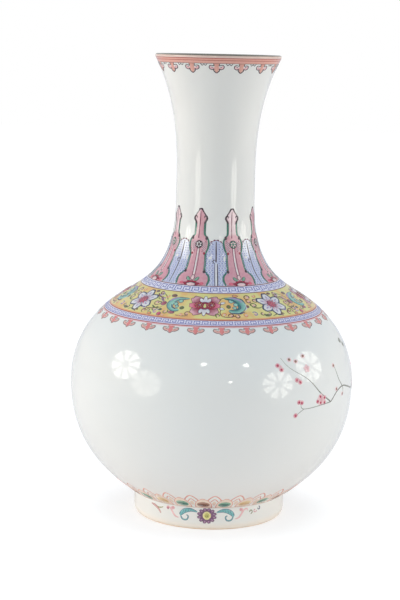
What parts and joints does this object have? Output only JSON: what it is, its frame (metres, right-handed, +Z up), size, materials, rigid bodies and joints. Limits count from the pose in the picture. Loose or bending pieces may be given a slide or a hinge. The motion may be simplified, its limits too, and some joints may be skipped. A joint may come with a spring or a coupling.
{
  "type": "globular vase",
  "caption": "Round-bellied porcelain bottle vase with a tall neck, a flared open mouth and a low foot ring.",
  "frame": {"origin": "on the ground, at the centre of the foot ring", "axes": "+Z up along the axis on which the vase is turned, from the foot to the mouth; +X to the right and +Y away from the camera in the picture"},
  "size_m": [0.24, 0.24, 0.39],
  "materials": {
    "glazed_porcelain": "opaque hard-paste porcelain under a clear, very slightly blue-white high-fired glaze, glossy",
    "biscuit_slip": "unglazed fired porcelain slip, matt and slightly warm",
    "overglaze_enamel": "opaque painted overglaze enamels in pinks, yellow, greens, turquoise and lavender, thin raised layers, glossy"
  },
  "bodies": {
    "root": {"foot_ring": "glazed_porcelain", "foot_luting_slip": "biscuit_slip", "lower_belly": "glazed_porcelain", "belly_luting_slip": "biscuit_slip", "upper_belly": "glazed_porcelain", "neck_luting_slip": "biscuit_slip", "neck_and_mouth": "glazed_porcelain"}
  },
  "joints": []
}
